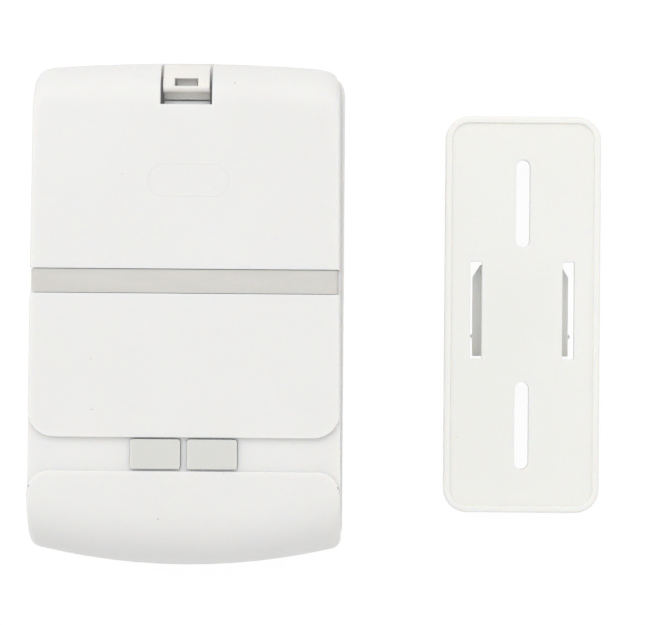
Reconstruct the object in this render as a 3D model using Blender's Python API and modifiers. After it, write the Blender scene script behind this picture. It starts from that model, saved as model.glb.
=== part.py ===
# Wireless door contact sensor with its loose wall bracket, lying face up side by side.
# The unit's front looks along +Z, its top end points along +Y.

import math

import bmesh
import bpy
from mathutils import Matrix, Vector

MM = 0.001

# Fits shared by the whole assembly
GAP = 0.3 * MM  # running or seating clearance between two pieces
OVER = 5.0 * MM  # how far a cutter reaches past what it cuts
WELD = 0.8 * MM  # how deep joined shapes run into each other

# Sensor housing
LENGTH = 109.5 * MM
DEPTH = 24.0 * MM
FRONT_HALF_LOW = 33.95 * MM  # half width at the chin end
FRONT_HALF_HIGH = 33.2 * MM  # half width at the latch end
FRONT_DRAFT = 0.025  # side lean, width lost per height
END_SAG_LOW = 4.2 * MM  # bow of the chin end seen from the front
END_SAG_HIGH = 1.4 * MM  # bow of the latch end
CORNER_LOW = 2.0 * MM
CORNER_HIGH = 4.2 * MM
EDGE_ROUND = 0.6 * MM
WALL = 2.0 * MM
PARTING_Z = 10.0 * MM
CHIN_RUN = 13.0 * MM  # length of the chin's curve along the front
SHOULDER_RUN = 8.75 * MM  # length of the latch end's curve along the front
SHOULDER_DROP = 8.0 * MM

# Rear shell
REAR_LEDGE = 0.25 * MM  # how far the rear shell stands proud of the wider end at each side
REAR_SHORT_LOW = 2.0 * MM
REAR_SHORT_HIGH = 0.8 * MM
REAR_EDGE_ROUND = 2.0 * MM
REAR_DRAFT = 0.05

# Features across the front
COVER_LENGTH = 44.75 * MM  # from the latch end to the cover's lower edge
BAR_WIDTH = 5.0 * MM
VALLEY_FROM_CHIN = 25.0 * MM  # from the chin end to the middle of the valley
VALLEY_WIDTH = 7.3 * MM
VALLEY_DEPTH = 1.4 * MM
PANEL_CORNER = 5.6 * MM
CHIN_CORNER = 4.6 * MM
BAR_RECESS = 0.5 * MM
BAR_GAP = 0.15 * MM
BAR_THICK = 2.0 * MM
RAIL_THICK = 2.0 * MM  # cross rail that carries the light bar
RAIL_LOW = 2.2 * MM  # how far the rail runs on below the bar

# Battery cover with its latch
COVER_SKIRT = 8.0 * MM
NOTCH_WIDTH = 11.1 * MM
NOTCH_LENGTH = 9.5 * MM
LATCH_WIDTH = 9.9 * MM
LATCH_THICK = 1.2 * MM
LATCH_GAP = 3.0 * MM  # finger gap between the leaf and the leg of the latch
LATCH_DEPTH = 5.6 * MM
LATCH_TURN = 0.6 * MM  # bend between the leg and the head
LATCH_HEAD_BACK = 1.2 * MM  # how far the head stands back from the housing's end
LATCH_WINDOW = (5.0 * MM, 1.7 * MM)
WINDOW_UP_HEAD = 0.9 * MM
CATCH_SIZE = (4.4 * MM, 1.2 * MM)
CATCH_BELOW_HEAD = 2.6 * MM  # how far the catch rib's top lies under the housing's front there
TONGUE_WIDTH = 6.0 * MM
TONGUE_REACH = 2.4 * MM
TONGUE_THICK = 1.2 * MM
TONGUE_DROP = 2.4 * MM
TONGUE_X = 20.0 * MM

# Buttons and their switches
BUTTON_SIZE = (10.6 * MM, 6.3 * MM)
BUTTON_GAP = 0.15 * MM
BUTTON_PITCH = 12.2 * MM
BUTTON_PROUD = 1.0 * MM
BUTTON_FLANGE = (0.4 * MM, 0.9 * MM)  # how far the flange stands out in X and Y
BUTTON_FLANGE_THICK = 0.9 * MM
BUTTON_CORNER = 0.6 * MM
BUTTON_EDGE = 0.2 * MM
BUTTON_TRAVEL = 0.6 * MM
SWITCH_SIZE = 6.0 * MM
SWITCH_HEIGHT = 3.5 * MM
PLUNGER_RADIUS = 1.7 * MM
PLUNGER_LENGTH = 2.1 * MM

# Battery bay, for two AA cells side by side
CELL_RADIUS = 7.1 * MM
CELL_LENGTH = 50.5 * MM
CELL_NUB = (2.75 * MM, 1.2 * MM)
CELL_PITCH = 15.2 * MM
BAY_WALL = 1.2 * MM
BAY_SIDE_ROOM = 0.9 * MM
BAY_RIM = 0.8 * MM  # how far the bay's walls stand above its rim plate
BAY_FROM_COVER_EDGE = 3.3 * MM
RIM_THICK = 1.7 * MM
COIL_LENGTH = 4.0 * MM
COIL_RADII = (4.2 * MM, 2.6 * MM)
COIL_WIRE = 0.35 * MM
COIL_TURNS = 3
CONTACT_THICK = 0.4 * MM
CONTACT_WIDTH = 11.0 * MM
CONTACT_HEIGHT = 9.0 * MM

# Circuit board and what it carries
BOARD_SIDE_ROOM = 3.5 * MM
BOARD_THICK = 1.6 * MM
BOARD_FROM_CHIN = 16.75 * MM
BOARD_FROM_COVER = 2.0 * MM
LED_RADIUS = 1.5 * MM
LED_HEIGHT = 3.4 * MM
LED_X = 12.0 * MM
REED_RADIUS = 1.1 * MM
REED_LENGTH = 14.0 * MM
REED_LEAD = (0.3 * MM, 3.0 * MM)
REED_AT = (24.0 * MM, 3.0 * MM)  # places on the board are from its middle
CHIP_SIZE = (10.0 * MM, 10.0 * MM, 1.4 * MM)
CHIP_AT = (-6.0 * MM, 3.0 * MM)
RADIO_SIZE = (16.0 * MM, 13.0 * MM, 2.4 * MM)
RADIO_X = -18.0 * MM
RADIO_UP = 12.0 * MM  # from the board's chin end
CRYSTAL_SIZE = (9.0 * MM, 3.6 * MM, 3.2 * MM)
CRYSTAL_AT = (8.0 * MM, 6.0 * MM)
CAPACITOR_RADIUS = 3.0 * MM
CAPACITOR_HEIGHT = 5.2 * MM
CAPACITOR_AT = (17.5 * MM, -6.0 * MM)
ANTENNA_RADIUS = 2.0 * MM
ANTENNA_WIRE = 0.4 * MM
ANTENNA_TURNS = 6
ANTENNA_PITCH = 2.2 * MM
ANTENNA_AT = (-22.0 * MM, -2.5 * MM)
STANDOFF_RADIUS = 1.8 * MM
STANDOFF_X = 22.0 * MM
STANDOFF_INSET = 4.0 * MM

# Screws that close the housing from behind
SCREW_IN_LOW = 6.4 * MM  # from the housing's side to the chin end screws
SCREW_UP_LOW = 11.25 * MM  # from the chin end
SCREW_IN_HIGH = 7.2 * MM
SCREW_DOWN_HIGH = 7.35 * MM  # from the latch end
SCREW_RADIUS = 1.25 * MM
SCREW_HEAD_RADIUS = 2.5 * MM
SCREW_HEAD_HEIGHT = 1.6 * MM
SCREW_LENGTH = 9.0 * MM
SCREW_SLOT = 0.7 * MM
BOSS_RADIUS = 3.4 * MM
BOSS_HEIGHT = 5.0 * MM
PILLAR_RADIUS = 2.7 * MM

# Wall bracket
BRACKET_WIDTH = 34.4 * MM
BRACKET_LENGTH = 87.7 * MM
BRACKET_PLATE = 2.2 * MM
BRACKET_CORNER = 5.2 * MM
BRACKET_RIM = 1.4 * MM
BRACKET_FIELD_DEPTH = 0.5 * MM
BRACKET_EDGE = 0.5 * MM
BRACKET_SLOT = (3.15 * MM, 19.4 * MM)
BRACKET_SLOT_Y = 24.6 * MM
RAIL_SPAN = 17.8 * MM  # distance between the outer faces of the two rail webs
RAIL_WEB = 1.5 * MM
RAIL_HEIGHT = 4.6 * MM
LIP_REACH = 1.75 * MM
LIP_THICK = 1.4 * MM
LIP_CHAMFER = 2.7 * MM
RAIL_LENGTH = 20.4 * MM
RAIL_MIDDLE_Y = 0.9 * MM
WINDOW_WIDTH = 2.65 * MM
WINDOW_ROOM = 0.6 * MM  # how far a window runs past each end of its rail
NUB_RADIUS = 0.5 * MM
NUB_FROM_END = 4.4 * MM

# Channel in the rear shell that slides over the bracket's rails
CHANNEL_ROOM = 0.4 * MM
CHANNEL_FROM_COVER = 0.5 * MM
CHANNEL_ROOF = 1.2 * MM

PIECE_SPACING = 22.4 * MM  # table between the unit and the bracket
BRACKET_Y = 0.75 * MM  # the bracket lies a little nearer the latch end

# Derived heights and places
END_Y = LENGTH / 2
COVER_EDGE_Y = END_Y - COVER_LENGTH
VALLEY_Y = -END_Y + VALLEY_FROM_CHIN
BOARD_LOW_Y = -END_Y + BOARD_FROM_CHIN
BOARD_HIGH_Y = COVER_EDGE_Y - BOARD_FROM_COVER
BOARD_MIDDLE_Y = (BOARD_LOW_Y + BOARD_HIGH_Y) / 2
CHANNEL_SEAT_Y = COVER_EDGE_Y - CHANNEL_FROM_COVER
SCREW_Y_LOW = -END_Y + SCREW_UP_LOW
SCREW_Y_HIGH = END_Y - SCREW_DOWN_HIGH
COVER_SEAM_Z = DEPTH - COVER_SKIRT
BAR_HIGH_Y = COVER_EDGE_Y - GAP
BAR_LOW_Y = BAR_HIGH_Y - BAR_WIDTH
BAR_TOP_Z = DEPTH - BAR_RECESS
BAR_BOTTOM_Z = BAR_TOP_Z - BAR_THICK
RAIL_TOP_Z = BAR_BOTTOM_Z - GAP
RAIL_BOTTOM_Z = RAIL_TOP_Z - RAIL_THICK
VALLEY_Z = DEPTH - VALLEY_DEPTH
VALLEY_UNDER_Z = VALLEY_Z - WALL
VALLEY_HIGH_Y = VALLEY_Y + VALLEY_WIDTH / 2
VALLEY_LOW_Y = VALLEY_Y - VALLEY_WIDTH / 2
BUTTON_TOP_Z = VALLEY_Z + BUTTON_PROUD
FLANGE_TOP_Z = VALLEY_UNDER_Z - GAP
FLANGE_BOTTOM_Z = FLANGE_TOP_Z - BUTTON_FLANGE_THICK
PLUNGER_TOP_Z = FLANGE_BOTTOM_Z - GAP
PLUNGER_BOTTOM_Z = PLUNGER_TOP_Z - PLUNGER_LENGTH
SWITCH_TOP_Z = PLUNGER_TOP_Z - BUTTON_TRAVEL
SWITCH_BOTTOM_Z = SWITCH_TOP_Z - SWITCH_HEIGHT
BOARD_TOP_Z = SWITCH_BOTTOM_Z - GAP
BOARD_BOTTOM_Z = BOARD_TOP_Z - BOARD_THICK
PART_Z = BOARD_TOP_Z + GAP  # where the board's components stand
CELL_Z = DEPTH - WALL - 2 * GAP - CELL_RADIUS
BAY_FLOOR_Z = CELL_Z - CELL_RADIUS - GAP
BAY_LOW_Y = COVER_EDGE_Y + BAY_FROM_COVER_EDGE
BAY_HIGH_Y = BAY_LOW_Y + CELL_PITCH + 2 * CELL_RADIUS + 2 * BAY_SIDE_ROOM
BAY_MIDDLE_Y = (BAY_LOW_Y + BAY_HIGH_Y) / 2
BAY_HALF_X = (CELL_LENGTH + COIL_LENGTH + 2 * CONTACT_THICK + 5 * GAP) / 2
BAY_TOP_Z = COVER_SEAM_Z - GAP + BAY_RIM
NOTCH_Y = END_Y - NOTCH_LENGTH
LATCH_LEAF_Y = NOTCH_Y - GAP - LATCH_THICK / 2
LATCH_LEG_Y = LATCH_LEAF_Y + LATCH_THICK + LATCH_GAP
LATCH_BEND_Y = (LATCH_LEAF_Y + LATCH_LEG_Y) / 2
LATCH_BEND_RADIUS = (LATCH_LEG_Y - LATCH_LEAF_Y) / 2
LATCH_HEAD_LOW_Y = LATCH_LEG_Y + LATCH_TURN
LATCH_HEAD_HIGH_Y = END_Y - LATCH_HEAD_BACK
LATCH_WINDOW_Y = LATCH_HEAD_LOW_Y + WINDOW_UP_HEAD
LATCH_PIVOT_Z = DEPTH - LATCH_DEPTH + LATCH_THICK / 2
LATCH_BEND_Z = LATCH_PIVOT_Z + LATCH_BEND_RADIUS
CHANNEL_HALF = RAIL_SPAN / 2 + LIP_REACH + CHANNEL_ROOM
CHANNEL_SLOT_HALF = RAIL_SPAN / 2 + CHANNEL_ROOM
CHANNEL_TOP_Z = RAIL_HEIGHT + CHANNEL_ROOM
CHANNEL_SPLIT_Y = CHANNEL_SEAT_Y - RAIL_LENGTH - 2 * CHANNEL_ROOM
CHANNEL_LOW_Y = CHANNEL_SPLIT_Y - RAIL_LENGTH - 2 * CHANNEL_ROOM
BRACKET_TOP_Z = RAIL_HEIGHT + BRACKET_PLATE

WIDE_HALF = max(FRONT_HALF_LOW, FRONT_HALF_HIGH)
UNIT_HALF_X = WIDE_HALF + REAR_LEDGE - REAR_DRAFT * GAP
TOTAL_X = 2 * UNIT_HALF_X + PIECE_SPACING + BRACKET_WIDTH
UNIT_X = -TOTAL_X / 2 + UNIT_HALF_X
BRACKET_X = TOTAL_X / 2 - BRACKET_WIDTH / 2

SIDES = {"left": -1, "right": 1}


def half_at(y, z=PARTING_Z):
    """Half the front housing's width at a place along it, below its rounded edge."""
    share = (y + END_Y) / LENGTH
    lean = FRONT_DRAFT * (z - PARTING_Z)
    return FRONT_HALF_LOW + (FRONT_HALF_HIGH - FRONT_HALF_LOW) * share - lean


NARROW_HALF = min(FRONT_HALF_LOW, FRONT_HALF_HIGH)
BOARD_HALF_WIDTH = NARROW_HALF - WALL - BOARD_SIDE_ROOM
SCREW_X_LOW = half_at(SCREW_Y_LOW) - SCREW_IN_LOW
SCREW_X_HIGH = half_at(SCREW_Y_HIGH) - SCREW_IN_HIGH


# Scene, materials and object helpers

for old in list(bpy.data.objects):
    bpy.data.objects.remove(old)

parts = bpy.data.collections.new("door_contact_sensor")
cutters = bpy.data.collections.new("cutters")
bpy.context.scene.collection.children.link(parts)
bpy.context.scene.collection.children.link(cutters)


def make_material(name, color, roughness, metallic=0.0):
    material = bpy.data.materials.new(name)
    material.use_nodes = True
    shader = material.node_tree.nodes["Principled BSDF"]
    shader.inputs["Base Color"].default_value = (*color, 1.0)
    shader.inputs["Roughness"].default_value = roughness
    shader.inputs["Metallic"].default_value = metallic
    material.diffuse_color = (*color, 1.0)
    return material


WHITE_ABS = make_material("white_abs", (0.84, 0.84, 0.83), 0.45)
BRACKET_ABS = make_material("bracket_abs", (0.84, 0.84, 0.82), 0.5)
GREY_ACRYLIC = make_material("grey_acrylic", (0.66, 0.65, 0.62), 0.35)
GREY_ABS = make_material("grey_abs", (0.70, 0.71, 0.67), 0.4)
BOARD_GREEN = make_material("board_green", (0.03, 0.20, 0.09), 0.45)
BLACK_EPOXY = make_material("black_epoxy", (0.03, 0.03, 0.03), 0.5)
TINNED_STEEL = make_material("tinned_steel", (0.72, 0.72, 0.70), 0.3, 1.0)
ZINC_STEEL = make_material("zinc_steel", (0.60, 0.60, 0.58), 0.35, 1.0)
COPPER_WIRE = make_material("copper_wire", (0.80, 0.45, 0.25), 0.35, 1.0)
CELL_JACKET = make_material("cell_jacket", (0.12, 0.13, 0.15), 0.35)
LED_EPOXY = make_material("led_epoxy", (0.75, 0.80, 0.72), 0.2)
REED_GLASS = make_material("reed_glass", (0.55, 0.70, 0.60), 0.1)


def make_empty(name, x, y=0.0):
    empty = bpy.data.objects.new(name, None)
    empty.location = (x, y, 0)
    parts.objects.link(empty)
    return empty


UNIT = make_empty("sensor_unit", UNIT_X)
BRACKET = make_empty("wall_bracket", BRACKET_X, BRACKET_Y)


def link_mesh(name, bm, material=None, parent=UNIT, origin=(0, 0, 0)):
    """Turns a bmesh into an object. With a material it is a part, without one a cutter."""
    bmesh.ops.recalc_face_normals(bm, faces=bm.faces)
    bmesh.ops.translate(bm, verts=bm.verts, vec=-Vector(origin))
    mesh = bpy.data.meshes.new(name)
    bm.to_mesh(mesh)
    bm.free()
    obj = bpy.data.objects.new(name, mesh)
    obj.location = origin
    obj.parent = parent
    if material is None:
        obj.hide_render = True
        obj.display_type = "WIRE"
        cutters.objects.link(obj)
    else:
        mesh.materials.append(material)
        mesh.shade_smooth()
        mesh.set_sharp_from_angle(angle=math.radians(35))
        parts.objects.link(obj)
    return obj


def box_bmesh(low, high):
    bm = bmesh.new()
    bmesh.ops.create_cube(bm, size=1.0)
    low, high = Vector(low), Vector(high)
    bmesh.ops.scale(bm, verts=bm.verts, vec=high - low)
    bmesh.ops.translate(bm, verts=bm.verts, vec=(low + high) / 2)
    return bm


def box(name, low, high, material=None, **place):
    return link_mesh(name, box_bmesh(low, high), material, **place)


def rod_bmesh(x, y, low_z, high_z, radius, sides=24):
    bm = bmesh.new()
    bmesh.ops.create_cone(
        bm, cap_ends=True, segments=sides, radius1=radius, radius2=radius, depth=high_z - low_z
    )
    bmesh.ops.translate(bm, verts=bm.verts, vec=(x, y, (low_z + high_z) / 2))
    return bm


def rod(name, x, y, low_z, high_z, radius, material=None, sides=24, **place):
    return link_mesh(name, rod_bmesh(x, y, low_z, high_z, radius, sides), material, **place)


def extrude_bmesh(outline, low, high, axes="XYZ"):
    """Sweeps a closed outline along the third axis named, from low to high."""
    order = ["XYZ".index(axis) for axis in axes]
    bm = bmesh.new()
    corners = []
    for first, second in outline:
        place = [0.0, 0.0, 0.0]
        place[order[0]], place[order[1]], place[order[2]] = first, second, low
        corners.append(bm.verts.new(place))
    face = bm.faces.new(corners)
    made = bmesh.ops.extrude_face_region(bm, geom=[face])
    moved = [item for item in made["geom"] if isinstance(item, bmesh.types.BMVert)]
    step = [0.0, 0.0, 0.0]
    step[order[2]] = high - low
    bmesh.ops.translate(bm, verts=moved, vec=step)
    return bm


def boolean(target, other, operation):
    modifier = target.modifiers.new(f"{operation.lower()}_{other.name}", "BOOLEAN")
    modifier.object = other
    modifier.operation = operation
    return target


def cut(target, *others):
    for other in others:
        boolean(target, other, "DIFFERENCE")


def join(target, *others):
    for other in others:
        boolean(target, other, "UNION")


def bevel(obj, width, segments=2, angle=40):
    modifier = obj.modifiers.new("edge_round", "BEVEL")
    modifier.width = width
    modifier.segments = segments
    modifier.limit_method = "ANGLE"
    modifier.angle_limit = math.radians(angle)
    modifier.use_clamp_overlap = True


def arc(center, radius, start, end, steps):
    """Points along a circular arc, in degrees, both ends included."""
    turns = [math.radians(start + (end - start) * i / steps) for i in range(steps + 1)]
    return [(center[0] + radius * math.cos(t), center[1] + radius * math.sin(t)) for t in turns]


def rounded_rectangle(half_x, half_y, radius, steps=6):
    points = []
    for sign_x, sign_y, start in ((1, 1, 0), (-1, 1, 90), (-1, -1, 180), (1, -1, 270)):
        middle = (sign_x * (half_x - radius), sign_y * (half_y - radius))
        points += arc(middle, radius, start, start + 90, steps)
    return points


# Plan outline and lofted shells of the housing


def end_curve(half, end_y, sag, corner, steps=12, corner_steps=4):
    """One bowed end from -X to +X, with eased corners. A positive sag falls away from end_y."""
    reach = half - corner
    xs = [-reach + 2 * reach * i / steps for i in range(steps + 1)]
    curve = [(x, end_y - sag * (x / half) ** 2) for x in xs]
    tip = (half, end_y - sag)
    side = (half, end_y - sag - math.copysign(corner, sag))
    eased = []
    for i in range(1, corner_steps + 1):
        t = i / corner_steps
        eased.append(
            tuple(
                (1 - t) ** 2 * a + 2 * t * (1 - t) * b + t**2 * c
                for a, b, c in zip(curve[-1], tip, side)
            )
        )
    return [(-x, y) for x, y in reversed(eased)] + curve + eased


def plan_outline(half_low, half_high, low_y, high_y, sag_low=END_SAG_LOW, sag_high=END_SAG_HIGH):
    low = end_curve(half_low, low_y, -sag_low, CORNER_LOW)
    high = end_curve(half_high, high_y, sag_high, CORNER_HIGH)
    return low + list(reversed(high))


def loft_bmesh(rings):
    """Skins a stack of rings of equal count, each a list of points, and caps both ends."""
    bm = bmesh.new()
    loops = [[bm.verts.new(point) for point in ring] for ring in rings]
    count = len(loops[0])
    for lower, upper in zip(loops, loops[1:]):
        for i in range(count):
            j = (i + 1) % count
            bm.faces.new((lower[i], lower[j], upper[j], upper[i]))
    bm.faces.new(list(reversed(loops[0])))
    bm.faces.new(loops[-1])
    return bm


LOFT_ANGLES = (0, 12, 24, 36, 47, 57, 66, 74, 82, 90)


def quarter(height, reach):
    """How far a quarter ellipse has turned in at a height, both as shares from 0 to 1."""
    return reach * (1 - math.sqrt(max(0.0, 1 - min(1.0, max(0.0, height)) ** 2)))


def front_rings(inset=0.0, extra_depth=0.0):
    """The front's outer form from the parting up, or the same form a wall's thickness inside it."""
    top = DEPTH - inset
    rise = top - PARTING_Z
    round_low = top - EDGE_ROUND
    rings = []
    for angle in LOFT_ANGLES:
        z = PARTING_Z + rise * math.sin(math.radians(angle))
        lean = FRONT_DRAFT * (z - PARTING_Z) + quarter((z - round_low) / EDGE_ROUND, EDGE_ROUND)
        chin = quarter((z - PARTING_Z) / rise, CHIN_RUN)
        shoulder = quarter((z - top + SHOULDER_DROP) / SHOULDER_DROP, SHOULDER_RUN)
        outline = plan_outline(
            FRONT_HALF_LOW - inset - lean,
            FRONT_HALF_HIGH - inset - lean,
            -END_Y + inset + chin,
            END_Y - inset - shoulder,
        )
        rings.append([(x, y, z) for x, y in outline])
    if extra_depth:
        rings.insert(0, [(x, y, PARTING_Z - extra_depth) for x, y, _ in rings[0]])
    return rings


def rear_rings(inset=0.0, floor=0.0, top=PARTING_Z - GAP):
    """The rear shell's tray form, with a rounded edge round its back face."""
    rings = []
    levels = [floor + REAR_EDGE_ROUND * (1 - math.cos(math.radians(a))) for a in (0, 30, 60, 90)]
    for z in levels + [top]:
        lift = min(1.0, (z - floor) / REAR_EDGE_ROUND)
        turn_in = quarter(1 - lift, REAR_EDGE_ROUND) + REAR_DRAFT * (PARTING_Z - z) + inset
        outline = plan_outline(
            WIDE_HALF + REAR_LEDGE - turn_in,
            WIDE_HALF + REAR_LEDGE - turn_in,
            -END_Y + REAR_SHORT_LOW + turn_in,
            END_Y - REAR_SHORT_HIGH - turn_in,
        )
        rings.append([(x, y, z) for x, y in outline])
    return rings


SCREW_PLACES = {
    "lower_left": (-SCREW_X_LOW, SCREW_Y_LOW),
    "lower_right": (SCREW_X_LOW, SCREW_Y_LOW),
    "upper_left": (-SCREW_X_HIGH, SCREW_Y_HIGH),
    "upper_right": (SCREW_X_HIGH, SCREW_Y_HIGH),
}
HEAD_SEAT_Z = SCREW_HEAD_HEIGHT + 2 * GAP
SCREW_TIP_Z = HEAD_SEAT_Z - GAP + SCREW_LENGTH
WIDE = UNIT_HALF_X + OVER


# Front housing


def valley_outline():
    """The button valley, which opens out round the corners of the panel and of the chin."""
    half = half_at(VALLEY_Y, DEPTH)
    panel_x = half - PANEL_CORNER
    chin_x = half - CHIN_CORNER
    high = arc((panel_x, VALLEY_HIGH_Y + PANEL_CORNER), PANEL_CORNER, -90, 0, 8)
    low = arc((chin_x, VALLEY_LOW_Y - CHIN_CORNER), CHIN_CORNER, 0, 90, 8)
    right = low[::-1] + [(half + OVER, VALLEY_LOW_Y - CHIN_CORNER)]
    right += [(half + OVER, VALLEY_HIGH_Y + PANEL_CORNER)] + high[::-1]
    return right + [(-x, y) for x, y in reversed(right)]


def build_battery_bay(housing):
    """Rim plate, open-topped tray and end wall that hold the cells under the cover."""
    rim = plan_outline(
        half_at(COVER_EDGE_Y) - WALL / 2,
        FRONT_HALF_HIGH - WALL / 2,
        COVER_EDGE_Y - GAP,
        END_Y - WALL / 2,
        sag_low=0.0,
    )
    seam_z = COVER_SEAM_Z - GAP
    join(housing, link_mesh("rim_plate", extrude_bmesh(rim, seam_z - RIM_THICK, seam_z + WELD)))
    cut(housing, box("cover_space", (-WIDE, BAR_HIGH_Y, seam_z), (WIDE, END_Y + OVER, DEPTH + OVER)))
    outer_x = BAY_HALF_X + BAY_WALL
    low_y, high_y = BAY_LOW_Y - BAY_WALL, BAY_HIGH_Y + BAY_WALL
    floor_z = BAY_FLOOR_Z - BAY_WALL
    join(
        housing,
        box("bay_tray", (-outer_x, low_y, floor_z), (outer_x, high_y, BAY_TOP_Z)),
        box("bay_end", (-outer_x, low_y, BAY_TOP_Z - WELD), (outer_x, BAY_LOW_Y, RAIL_TOP_Z - WELD)),
    )
    cut(
        housing,
        box(
            "bay_hollow",
            (-BAY_HALF_X, BAY_LOW_Y, BAY_FLOOR_Z),
            (BAY_HALF_X, BAY_HIGH_Y, DEPTH + OVER),
        ),
    )


def build_bar_rail(housing):
    """Cross rail under the light bar, with wells for the lamps and slots for the cover's tongues."""
    inner_x = min(half_at(COVER_EDGE_Y, DEPTH), half_at(BAY_LOW_Y, DEPTH)) - WALL - 2 * GAP
    wide_x = min(half_at(BAR_LOW_Y, DEPTH), half_at(BAR_HIGH_Y, DEPTH)) - WALL / 2
    low_y = BAR_LOW_Y - RAIL_LOW
    join(
        housing,
        box(
            "rail_wide",
            (-wide_x, low_y, RAIL_BOTTOM_Z),
            (wide_x, BAR_HIGH_Y, DEPTH - WALL + WELD),
        ),
        box(
            "rail_under_cover",
            (-inner_x, BAR_HIGH_Y - WELD, RAIL_BOTTOM_Z),
            (inner_x, BAY_LOW_Y, RAIL_TOP_Z + WELD),
        ),
    )
    cut(
        housing,
        box("bar_slot", (-WIDE, BAR_LOW_Y, RAIL_TOP_Z), (WIDE, BAY_LOW_Y + WELD, DEPTH + OVER)),
    )
    swing = TONGUE_REACH + 2 * GAP
    for side, sign in SIDES.items():
        half = TONGUE_WIDTH / 2 + GAP
        cut(
            housing,
            box(
                f"tongue_slot_{side}",
                (sign * TONGUE_X - half, COVER_EDGE_Y - swing, RAIL_BOTTOM_Z - 2 * WELD),
                (sign * TONGUE_X + half, BAY_LOW_Y + WELD, RAIL_TOP_Z + WELD),
            ),
            rod(
                f"lamp_well_{side}",
                sign * LED_X,
                (BAR_LOW_Y + BAR_HIGH_Y) / 2,
                RAIL_BOTTOM_Z - WELD,
                RAIL_TOP_Z + WELD,
                LED_RADIUS + 2 * GAP,
            ),
        )


def build_button_valley(housing):
    half_x = half_at(VALLEY_Y, DEPTH) - WALL / 2
    join(
        housing,
        box(
            "valley_floor",
            (-half_x, VALLEY_LOW_Y - CHIN_CORNER, VALLEY_UNDER_Z),
            (half_x, VALLEY_HIGH_Y + PANEL_CORNER, DEPTH - WALL + WELD / 2),
        ),
    )
    cut(housing, link_mesh("valley", extrude_bmesh(valley_outline(), VALLEY_Z, DEPTH + OVER)))
    for side, sign in SIDES.items():
        hole = rounded_rectangle(
            BUTTON_SIZE[0] / 2 + BUTTON_GAP, BUTTON_SIZE[1] / 2 + BUTTON_GAP, BUTTON_CORNER + BUTTON_GAP, 2
        )
        hole = [(x + sign * BUTTON_PITCH / 2, y + VALLEY_Y) for x, y in hole]
        bm = extrude_bmesh(hole, VALLEY_UNDER_Z - WELD, DEPTH + OVER)
        cut(housing, link_mesh(f"button_hole_{side}", bm))


def shoulder_point(y, below=0.0):
    """A point under the latch end's rounded front, that far inside it."""
    share = min(1.0, max(0.0, (y - END_Y + SHOULDER_RUN) / (SHOULDER_RUN - below)))
    top = DEPTH - SHOULDER_DROP
    return (y, top + (SHOULDER_DROP - below) * math.sqrt(1 - share**2))


def build_catch(housing):
    """Rib on the end of the rim plate that stands under the latch's window."""
    half_x, half_y = CATCH_SIZE[0] / 2, CATCH_SIZE[1] / 2
    top = shoulder_point(LATCH_WINDOW_Y)[1] - CATCH_BELOW_HEAD
    low = (-half_x, LATCH_WINDOW_Y - half_y, COVER_SEAM_Z - GAP - WELD)
    join(housing, box("catch_rib", low, (half_x, LATCH_WINDOW_Y + half_y, top)))


def build_front_housing():
    housing = link_mesh("front_housing", loft_bmesh(front_rings()), WHITE_ABS)
    cut(housing, link_mesh("front_cavity", loft_bmesh(front_rings(WALL, OVER))))
    build_battery_bay(housing)
    build_bar_rail(housing)
    build_button_valley(housing)
    build_catch(housing)
    for name, (x, y) in SCREW_PLACES.items():
        top = COVER_SEAM_Z - 2 * WELD if y > 0 else DEPTH - 2 * WALL
        join(housing, rod(f"pillar_{name}", x, y, BOSS_HEIGHT + GAP, top, PILLAR_RADIUS, sides=20))
    for name, (x, y) in SCREW_PLACES.items():
        hole_top = SCREW_TIP_Z + 2 * GAP
        cut(housing, rod(f"pilot_{name}", x, y, 0, hole_top, SCREW_RADIUS + GAP, sides=16))
    return housing


# Rear housing


def build_bracket_channel(housing):
    """Roofed pocket behind the floor: the rails enter at the wide end and slide up under its ledges."""
    roof = CHANNEL_ROOF
    join(
        housing,
        box(
            "channel_roof",
            (-CHANNEL_HALF - roof, CHANNEL_LOW_Y - roof, WALL - WELD),
            (CHANNEL_HALF + roof, CHANNEL_SEAT_Y + roof, CHANNEL_TOP_Z + roof),
        ),
    )
    cut(
        housing,
        box(
            "channel_entry",
            (-CHANNEL_HALF, CHANNEL_LOW_Y, -OVER),
            (CHANNEL_HALF, CHANNEL_SPLIT_Y, CHANNEL_TOP_Z),
        ),
        box(
            "channel_run",
            (-CHANNEL_HALF, CHANNEL_SPLIT_Y - WELD, WALL),
            (CHANNEL_HALF, CHANNEL_SEAT_Y, CHANNEL_TOP_Z),
        ),
        box(
            "channel_slot",
            (-CHANNEL_SLOT_HALF, CHANNEL_SPLIT_Y - WELD, -OVER),
            (CHANNEL_SLOT_HALF, CHANNEL_SEAT_Y, WALL + WELD),
        ),
    )


def build_rear_housing():
    housing = link_mesh("rear_housing", loft_bmesh(rear_rings()), WHITE_ABS)
    cut(housing, link_mesh("rear_cavity", loft_bmesh(rear_rings(WALL, WALL, PARTING_Z + OVER))))
    for name, (x, y) in SCREW_PLACES.items():
        join(housing, rod(f"boss_{name}", x, y, WALL - WELD, BOSS_HEIGHT, BOSS_RADIUS))
    for side, sign in SIDES.items():
        for end, y in (("low", BOARD_LOW_Y + STANDOFF_INSET), ("high", BOARD_HIGH_Y - STANDOFF_INSET)):
            post_top = BOARD_BOTTOM_Z - GAP
            name = f"standoff_{side}_{end}"
            join(housing, rod(name, sign * STANDOFF_X, y, WALL - WELD, post_top, STANDOFF_RADIUS, sides=16))
    build_bracket_channel(housing)
    for name, (x, y) in SCREW_PLACES.items():
        cut(
            housing,
            rod(f"head_seat_{name}", x, y, -OVER, HEAD_SEAT_Z, SCREW_HEAD_RADIUS + GAP),
            rod(f"screw_way_{name}", x, y, 0, BOSS_HEIGHT + WELD, SCREW_RADIUS + GAP, sides=16),
        )
    return housing


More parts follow.
